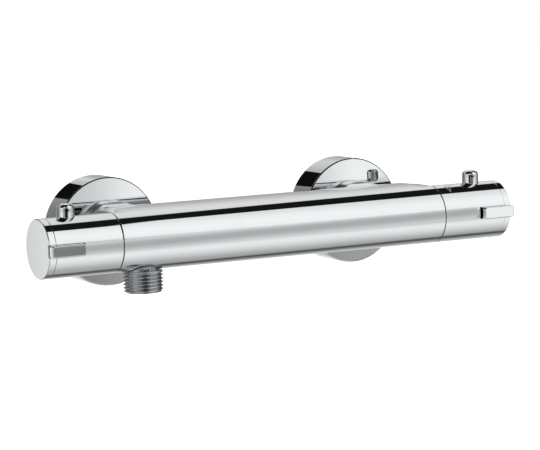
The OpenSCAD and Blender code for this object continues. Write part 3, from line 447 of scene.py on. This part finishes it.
body = Blank()
mouth_r, mouth_depth, edge_r, edge_flat, fade, end_swell = 11.6, 8.0, 0.3, 0.06, 10.0, 0.3
rings = []
for end in (-1, 1):
    steps = [(edge_r + edge_flat, body_half), *arc((edge_r, body_half - edge_r), edge_r, 90, 180, 5),
             (0, body_half - edge_r - edge_flat)]
    steps += [(0, body_half - fade * step / 10) for step in range(1, 11)]
    mouth = [math.atan2(v, u) for u, v in bar_section(0, end_swell)]
    rounds = [[front_seat.spot(mouth_r * math.cos(a), mouth_r * math.sin(a), end * distance) for a in mouth]
              for distance in (body_half - mouth_depth, body_half)]
    bottom = [front_seat.spot(0, 0, end * (body_half - mouth_depth))]
    outside = []
    for inset, distance in steps:
        wave = math.cos(math.pi * min(1, (body_half - distance) / fade))
        swell = (1 + end_swell - (1 - end_swell) * wave) / 2
        outside.append([front_seat.spot(u, v, end * distance) for u, v in bar_section(inset, swell)])
    run = [bottom, *rounds, *outside]
    rings += run if end < 0 else run[::-1]
body.skin(rings)
body.done("valve_body_chromed", "valve", "chrome_body", polished_chrome, "valve_body")

# The handle shells: brass sleeves turned to the bar's diameter, slotted in front for a button and chromed;
# a web inside carries the splined bush. The right one has a small grey pointer beside its seam, and its
# seams are finer than the left one's.
ends = {"temperature": (Seat((96.5, axis_y, 0), (1, 0, 0), (0, -1, 0)), "temperature_handle"),
        "flow": (Seat((-96.5, axis_y, 0), (-1, 0, 0), (0, -1, 0)), "flow_handle")}
shell_spans = {"temperature": (-0.12, 37.4), "flow": (0, 37.3)}
shell_edges = {"temperature": 0.05, "flow": 0.18}
shell_in_r, slot_half, slot_z, slot_steps, shell_steps = 13.0, 3.2, 21.5, 8, 160
web_in_r, web_z, web_end_z, web_lap = 8.0, 16.5, 19.5, 0.5
pointer_x, pointer_base, pointer_width, left_lean, right_lean = 101.7, 20.3, 4.6, 0.2, 0.53
pointer_line, print_blur = 0.6, 0.1


def pointer(sheet, place):
    """A three cornered outline printed near the seam, on top of the handle's front."""
    x = sheet.node("ShaderNodeSeparateXYZ", {}, place)
    round_up = x.other("Z").maths("ARCTAN2", axis_y * mm - x.other("Y")) * bar_r
    along, from_base = x / mm - pointer_x, pointer_base - round_up
    from_left = along - from_base * left_lean
    from_right = pointer_width - from_base * right_lean - along
    deep = from_left.maths("MINIMUM", from_right).maths("MINIMUM", from_base)
    return deep.band(-print_blur, print_blur, pointer_line - print_blur, pointer_line + print_blur)


pointed_chrome = coated("pointed_chrome", chrome_colour, chrome_roughness, stain=chrome_stain, mark=pointer)
for handle, (seat, turning) in ends.items():
    shell = Blank()
    layers = []
    start, stop = shell_spans[handle]
    for radius in (bar_r, shell_in_r):
        edge = math.asin(slot_half / radius)
        angles = [-edge + 2 * edge * step / slot_steps for step in range(slot_steps)]
        angles += [edge + (math.tau - 2 * edge) * step / shell_steps for step in range(shell_steps)]
        layers.append([[shell.mesh.verts.new(seat.spot(radius * math.cos(a), radius * math.sin(a), distance))
                        for a in angles] for distance in (start, slot_z, stop)])
    outer, inner = layers
    for column in range(slot_steps + shell_steps):
        beside = (column + 1) % (slot_steps + shell_steps)
        rows = 1 if column < slot_steps else 2
        for row in range(rows):
            for layer in (outer, inner):
                shell.mesh.faces.new((layer[row][column], layer[row][beside], layer[row + 1][beside],
                                      layer[row + 1][column]))
        for row in (0, rows):
            shell.mesh.faces.new((outer[row][column], outer[row][beside], inner[row][beside],
                                  inner[row][column]))
    for column in (0, slot_steps):
        shell.mesh.faces.new((outer[1][column], outer[2][column], inner[2][column], inner[1][column]))
    shell.turned(seat, [(web_in_r, web_z), (shell_in_r + web_lap, web_z), (shell_in_r + web_lap, web_end_z),
                        (web_in_r, web_end_z)], 96)
    coat = pointed_chrome if handle == "temperature" else polished_chrome
    shell.done(handle + "_handle_sleeve", turning, "chrome_handle", coat, handle + "_handle_shell",
               edge=shell_edges[handle])

# The end caps: thin turned discs pressed into the shells, notched in front for the buttons, with a fine
# seam between cap and shell and a small round on the outer edge.
cap_z, cap_end_z, cap_round, cap_steps, notch_low, notch_soft = 37.45, 41.15, 0.5, 168, 13.55, 0.12
cap_edges = {"temperature": 0.036, "flow": 0.12}


def cap_section(inset):
    """The cap's round outline with its notch, drawn in by inset."""
    radius, soft = bar_r - inset, min(inset, notch_soft)
    edge = math.asin((slot_half + soft) / radius)
    angles = [edge + (math.tau - 2 * edge) * step / cap_steps for step in range(cap_steps + 1)]
    return [(radius * math.cos(a), radius * math.sin(a)) for a in angles] + [
        (notch_low - soft, -slot_half - soft), (notch_low - soft, slot_half + soft)]


for handle, (seat, turning) in ends.items():
    cap = Blank()
    broken = cap_edges[handle]
    steps = [(broken * 4 / 3, cap_z), (broken, cap_z), (broken / 4, cap_z + broken / 3), (0, cap_z + broken),
             (0, cap_z + 0.2), (0, cap_end_z - cap_round - 0.05)]
    steps += arc((cap_round, cap_end_z - cap_round), cap_round, 180, 90, 7)
    steps += [(cap_round + edge_flat, cap_end_z)]
    cap.capped([[seat.spot(u, v, distance) for u, v in cap_section(inset)] for inset, distance in steps])
    cap.done(handle + "_cap_turned", turning, "chrome_handle", polished_chrome, handle + "_end_cap")

# The lever pins: short turned brass studs with a rounded top and a flared foot that follows the round
# shell and goes a little into it.
lever_at, lever_r, lever_foot, foot_sunk = 25.0, 4.5, 0.4, 0.6
lever_top, lever_top_round, dome_sag, lever_steps = 22.5, 2.4, 0.2, 72
for handle, (seat, turning) in ends.items():
    stud = Blank()
    upward = Vector((0, 0, 1))
    base = seat.start + seat.along * lever_at
    saddle = [(lever_r + lever_foot, -foot_sunk),
              *arc((lever_r + lever_foot, lever_foot), lever_foot, 270, 180, 8)]
    shoulder = arc((lever_r - lever_top_round, lever_top - lever_top_round - dome_sag), lever_top_round,
                   0, 82, 10)
    head = [(lever_r, shoulder[0][1] - 0.05), *shoulder]
    head += [(shoulder[-1][0] * share, lever_top - dome_sag * share ** 2)
             for share in (0.8, 0.6, 0.4, 0.2, 0)]
    rings = []
    for place, (radius, above) in enumerate([(0, -foot_sunk), *saddle, *head]):
        ring = []
        for step in range(lever_steps if radius else 1):
            a = math.tau * step / lever_steps
            sideways = radius * math.sin(a)
            shell_top = math.sqrt(bar_r ** 2 - sideways ** 2) if place <= len(saddle) else 0
            ring.append((base + seat.along * radius * math.cos(a) + seat.front * sideways
                         + upward * (shell_top + above)) * mm)
        rings.append(ring)
    stud.skin(rings)
    stud.done(handle + "_stud", turning, "chrome_handle", polished_chrome, handle + "_lever_pin")

# The push buttons: bars with rounded corners and bevelled tops in the handles' slots, on a broad foot with
# a tongue that reaches the stop ring. The left one carries a dark satin strip in a bright frame, the right
# one is all chrome.
button_z, button_end_z, button_half, button_low, button_top = 22.55, 41.15, 3.1, 15.5, 19.3
button_round, button_bevel, strip_in, strip_sunk, strip_round = 1.0, 0.35, 0.55, 0.2, 1.7
stem_z, stem_end_z, tongue_half, tongue_z = 22.95, 37.35, 2.0, 6.9
foot_low, foot_top, foot_half, foot_z, foot_end_z = 10.6, 12.1, 4.4, 23.35, 33.35


def button_plan(seat, height, inset, round_in=button_round):
    """The button seen from the front at a height over the axis, drawn in by inset."""
    soft = max(0.25, round_in - inset)
    low, high, half = button_z + inset, button_end_z - inset, button_half - inset
    plan = softened([(low, -half), (high, -half), (high, half), (low, half)], soft, steps=7)
    return [seat.spot(height, sideways, distance) for distance, sideways in plan]


def bar_between(blank, seat, low, high, half, start, stop):
    """A plain bar on the button, as high and long as given."""
    corners = [(-half, start), (half, start), (half, stop), (-half, stop)]
    blank.capped([[seat.spot(height, sideways, distance) for sideways, distance in corners]
                  for height in (low, high)])


dark_satin = coated("dark_satin", (0.26, 0.265, 0.27), 0.34, metallic=0.85, stain=0.08, mottle=0.08,
                    bump=0.12)
for handle, press, slot, name in (("temperature", "safety_press", "chrome_button", "safety_button"),
                                  ("flow", "economy_press", "dark_button", "economy_button")):
    seat = ends[handle][0]
    button = Blank()
    levels = [(button_low, 0), (button_top - button_bevel - 0.1, 0), (button_top - button_bevel, 0.02),
              (button_top - button_bevel + 0.08, 0.09), (button_top - 0.09, button_bevel - 0.09),
              (button_top - 0.02, button_bevel), (button_top, button_bevel + 0.08),
              (button_top, button_bevel + 0.12)]
    if handle == "flow":
        levels += [(button_top, strip_in + 0.03), (button_top - strip_sunk, strip_in + 0.05)]
    button.capped([button_plan(seat, height, inset) for height, inset in levels])
    bar_between(button, seat, foot_top - 0.1, button_low + 0.1, button_half, stem_z, stem_end_z)
    bar_between(button, seat, foot_low, foot_top, foot_half, foot_z, foot_end_z)
    bar_between(button, seat, foot_low + 0.1, foot_top, tongue_half, tongue_z, foot_z + 1)
    button.done(name + "_bar", press, slot, polished_chrome, name)
    if handle == "flow":
        strip = Blank()
        domed = [(-0.3, 0.1), (0.04, 0.1), (0.07, 0.14), (0.12, 0.5), (0.16, 1.0), (0.19, 1.5), (0.2, 2.0)]
        strip.capped([button_plan(seat, button_top - strip_sunk + rise, strip_in + inset, strip_round)
                      for rise, inset in domed])
        strip.done(name + "_strip", press, slot, dark_satin)

# The rosettes: deep cups spun from brass sheet and chromed, with a domed face, a fine bevel round it and a
# boss that is pushed over the coupling, so that their rims lie on the wall.
rosette_r, rosette_wall, rosette_bevel, rosette_hole, dome_r, dome_top = 29.2, 1.2, 0.6, 13.3, 410.0, 49.46
wall_z, cup_floor_z, boss_r, boss_end_z = 70, 51.7, 15.3, 56.5
inlets = {"hot": Seat((-75, axis_y, 0), (0, 1, 0), (0, 0, 1)),
          "cold": Seat((75, axis_y, 0), (0, 1, 0), (0, 0, 1))}


def dome(radius):
    """How far from the bar's axis the face lies at a radius."""
    return dome_top + dome_r - math.sqrt(dome_r ** 2 - radius ** 2)


face = [rosette_hole + (rosette_r - rosette_bevel - rosette_hole) * step / 24 for step in range(25)]
cup = [(radius, dome(radius), 0) for radius in face[:-1]]
cup += [(face[-1], dome(face[-1]), 0.12), (rosette_r, dome(rosette_r) + rosette_bevel, 0.2),
        (rosette_r, wall_z, 0.15), (rosette_r - rosette_wall, wall_z, 0.15),
        (rosette_r - rosette_wall, cup_floor_z, 0.4), (boss_r, cup_floor_z, 0.3), (boss_r, boss_end_z),
        (rosette_hole, boss_end_z)]
for supply, seat in inlets.items():
    spun = Blank()
    spun.turned(seat, softened(cup), 180)
    spun.done(supply + "_rosette_spun", "valve", "chrome_fitting", polished_chrome, supply + "_rosette")

# The union nuts: hexagon bars with a turned collar against the rosette and chamfered corners in front,
# chromed. They draw the inlet tubes onto the couplings, and stand with a flat on top.
nut_half, nut_z, nut_end_z, nut_collar_z, nut_collar_r, nut_chamfer = 14.8, 34.56, 49.26, 41.26, 17.2, 0.8
nut_lip_z, nut_lip_r, nut_thread_r = 37.36, 10.1, 13.3
nut_front_r = nut_collar_r - nut_chamfer
columns = [math.tau * step / around for step in range(around)]
hexagon = [nut_half / math.cos((a + math.pi / 6) % (math.pi / 3) - math.pi / 6) for a in columns]


def nut_ring(seat, radii, distances):
    """A ring whose points each have their own radius and distance."""
    return [seat.spot(radius * math.cos(a), radius * math.sin(a), distance)
            for a, radius, distance in zip(columns, radii, distances)]


for supply, seat in inlets.items():
    nut = Blank()
    rows = [seat.ring(nut_lip_r, nut_z), seat.ring(nut_half - 0.3, nut_z),
            nut_ring(seat, [min(radius, nut_front_r) for radius in hexagon], [nut_z] * around),
            nut_ring(seat, hexagon, [nut_z + max(0.1, radius - nut_front_r) for radius in hexagon]),
            nut_ring(seat, hexagon, [nut_collar_z] * around)]
    collar = softened([(nut_half - 0.5, nut_collar_z, 0), (nut_collar_r, nut_collar_z, 0.35),
                       (nut_collar_r, nut_end_z, 0.35), (nut_thread_r, nut_end_z, 0.2),
                       (nut_thread_r, nut_lip_z, 0.1), (nut_lip_r, nut_lip_z, 0.1),
                       (nut_lip_r, nut_lip_z - 0.5, 0)], closed=False)
    rows += [seat.ring(radius, distance) for radius, distance in collar]
    nut.skin(rows, closed=True)
    nut.done(supply + "_nut_chromed", "valve", "chrome_fitting", polished_chrome, supply + "_union_nut",
             sharp=20)

# The inlet tubes: turned brass connectors screwed into the bar's flat back, with a flange there and a
# collar inside the union nut; each carries a non-return valve in its bore.
tube = [(5.26, 14.2), (9.2, 14.2, 0.5), (9.2, 21), (11.5, 21), (11.5, 22.8, 0.4), (9.9, 22.8, 0.3),
        (9.9, 37.56), (12.6, 37.56, 0.3), (12.6, 40.06, 0.3), (7.56, 40.06), (7.56, 26.06), (5.26, 26.06)]
for supply, seat in inlets.items():
    connector = Blank()
    connector.turned(seat, softened(tube, 0.1))
    connector.done(supply + "_tube_turned", "valve", "chrome_fitting", polished_chrome,
                   supply + "_inlet_tail")

# The eccentric couplings: brass castings whose two ends lie beside each other, so that a turn of them
# takes up the distance between the pipes. The tail has a rolled half inch thread and goes into the wall.
threading = bpy.data.node_groups.new("rolled_thread", "GeometryNodeTree")
threading.interface.new_socket("Shape", in_out="OUTPUT", socket_type="NodeSocketGeometry")
for label in ("Radius", "Depth", "Pitch", "Start", "Length", "Chamfer", "Runout"):
    threading.interface.new_socket(label, in_out="INPUT", socket_type="NodeSocketFloat")
threading.interface.new_socket("Finish", in_out="INPUT", socket_type="NodeSocketMaterial")
lathe = Sheet(threading)
given = lathe.node("NodeGroupInput", {})

# The grid is one metre square; across it runs one lap round the thread, and up it the way along.
laps_fine, way_fine, flank_slope, crest_share, end_tuck = 129, 141, 1.75, 0.14, 2.2
grid = lathe.node("GeometryNodeMeshGrid", {}, 1.0, 1.0, laps_fine, way_fine)
spot = lathe.node("ShaderNodeSeparateXYZ", {}, lathe.node("GeometryNodeInputPosition", {}))
lap, step = spot + 0.5, spot.other("Y") + 0.5
travel = step * given.other("Length")
phase = travel / given.other("Pitch") - lap
flank = (abs(2 * phase.maths("FRACT") - 1) * flank_slope - crest_share).held(0, 1)
shallow = (travel / given.other("Runout")).maths("MINIMUM", 1)
grooved = given.other("Radius") - given.other("Depth") * flank * shallow
coned = given.other("Radius") - given.other("Chamfer") + (1 - step) * given.other("Length")
first_row, last_row = 1 - step.maths("GREATER_THAN", 0.002), step.maths("GREATER_THAN", 0.998)
tucked = (first_row + last_row) * (given.other("Depth") * end_tuck)
radius, angle = grooved.maths("MINIMUM", coned) - tucked, lap * math.tau
place = lathe.node("ShaderNodeCombineXYZ", {}, radius * angle.maths("COSINE"), radius * angle.maths("SINE"),
                   given.other("Start") + travel)
shaped = lathe.node("GeometryNodeSetPosition", {}, grid, Position=place)
joined = lathe.node("GeometryNodeMergeByDistance", {}, shaped, Distance=0.0001)
smooth = lathe.node("GeometryNodeSetShadeSmooth", {}, joined)
real = lathe.node("GeometryNodeRealizeInstances", {}, smooth)
coloured = lathe.node("GeometryNodeSetMaterial", {}, real, Material=given.other("Finish"))
lathe.node("NodeGroupOutput", {}, coloured)


def threaded(name, seat, finish, sizes):
    """A thread of the given sizes, made a plain mesh in its place."""
    made = bpy.data.objects.new(name, bpy.data.meshes.new(name))
    scene.collection.objects.link(made)
    rolling = made.modifiers.new("rolled_thread", "NODES")
    rolling.node_group = threading
    for socket in threading.interface.items_tree:
        if socket.in_out == "INPUT":
            rolling[socket.identifier] = finish if socket.name == "Finish" else float(sizes[socket.name])
    shape = bpy.data.meshes.new_from_object(made.evaluated_get(bpy.context.evaluated_depsgraph_get()))
    made.modifiers.clear()
    turn = Matrix((seat.front, seat.side, seat.along)).transposed()
    if turn.determinant() < 0:
        shape.flip_normals()
    shape.transform(Matrix.Scale(mm, 4) @ Matrix.Translation(seat.start) @ turn.to_4x4())
    made.data = shape
    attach(made, "valve")
    return made


raw_brass = coated("raw_brass", (0.72, 0.55, 0.27), 0.28, stain=0.08, mottle=0.12, bump=0.1)
half_inch_r, half_inch_pitch, half_inch_depth, tail_drop = 10.4775, 1.814, 1.05, 7.0
for supply, seat in inlets.items():
    low_seat = Seat(seat.start + Vector((0, 0, -tail_drop / 2)), seat.along, seat.front)
    tail_seat = Seat(seat.start + Vector((0, 0, -tail_drop)), seat.along, seat.front)
    casting = Blank()
    casting.turned(seat, softened([(8, 42.46), (13.2, 42.46, 0.8), (13.2, 58.5), (8, 58.5)]))
    casting.turned(low_seat, softened([(6.5, 57.86), (17.2, 57.86, 0.4), (17.2, 61.86, 0.4), (6.5, 61.86)]))
    casting.turned(tail_seat, softened([(7, 60), (9.2, 60), (9.2, 87.2), (8.4, 88), (7, 88)]))
    casting.done(supply + "_coupling_cast", "valve", "brass", raw_brass, supply + "_eccentric_coupling")
    threaded(supply + "_wall_thread", tail_seat, raw_brass, {
        "Radius": half_inch_r, "Depth": half_inch_depth, "Pitch": half_inch_pitch, "Start": 61.9,
        "Length": 26.0, "Chamfer": 1.0, "Runout": 0.3})

# The hose outlet: a nipple pressed into the bar's underside, with a smooth bright neck and a rolled half
# inch thread of grey nickel on which the hose is screwed.
outlet_seat = Seat((-79.3, axis_y, 0), (0, 0, -1), (0, -1, 0))
# The thread's roots, and how much painted shade darkens the nickel at and inside them.
root_r, root_edge_r, root_painted_shade = 9.4, 9.55, 0.5


def painted_valley_shade(sheet, place):
    """The bottom of the thread, and all that lies nearer the axis, where shade is painted darker onto the
    nickel.
    """
    x = sheet.node("ShaderNodeSeparateXYZ", {}, place)
    beside, behind = x / mm - outlet_seat.start.x, x.other("Y") / mm - outlet_seat.start.y
    radius = (beside * beside + behind * behind).maths("SQRT")
    return (1 - radius.between(root_r, root_edge_r)) * root_painted_shade


grey_nickel = coated("grey_nickel", (0.58, 0.595, 0.605), 0.09, stain=0.04, mottle=0.06, bump=0.04,
                     shade=painted_valley_shade)
nipple = Blank()
nipple.turned(outlet_seat, softened([(6.3, 12.65), (8.3, 12.65), (8.3, 25.8), (9.3, 25.8), (9.3, 27, 0.1),
                                     (6.3, 27, 0.3)]))
nipple.done("outlet_nipple_turned", "valve", "chrome_fitting", grey_nickel, "outlet_nipple")
threaded("outlet_thread", outlet_seat, grey_nickel, {
    "Radius": half_inch_r, "Depth": half_inch_depth, "Pitch": half_inch_pitch, "Start": 15.8,
    "Length": 11.15, "Chamfer": 1.1, "Runout": 0.5})

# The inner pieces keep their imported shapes: brass spindles and glands, ceramic discs, moulded housings,
# steel springs and screws, and rubber rings, each with the finish of its material.
inner_finishes = {
    "brass": raw_brass,
    "steel": coated("bright_steel", (0.6, 0.61, 0.62), 0.25, stain=0.05, mottle=0.1, bump=0.06),
    "spring_steel": coated("spring_steel", (0.5, 0.5, 0.51), 0.3, stain=0.06, mottle=0.1),
    "copper": coated("wax_cup_copper", (0.72, 0.38, 0.24), 0.3, stain=0.1, mottle=0.12),
    "ceramic": coated("lapped_ceramic", (0.86, 0.86, 0.83), 0.18, metallic=0.0, stain=0.02, mottle=0.05),
    "plastic_white": coated("white_acetal", (0.82, 0.82, 0.8), 0.45, metallic=0.0, stain=0.03, bump=0.1),
    "plastic_grey": coated("grey_moulding", (0.16, 0.17, 0.18), 0.5, metallic=0.0, stain=0.06, bump=0.15),
    "plastic_red": coated("red_moulding", (0.5, 0.04, 0.03), 0.45, metallic=0.0, stain=0.05, bump=0.12),
    "rubber": coated("black_rubber", (0.02, 0.02, 0.021), 0.7, metallic=0.0, stain=0.1, bump=0.2),
}
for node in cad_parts.values():
    for place in node.material_slots:
        place.material = inner_finishes.get(place.material.name.split(".")[0], polished_chrome)
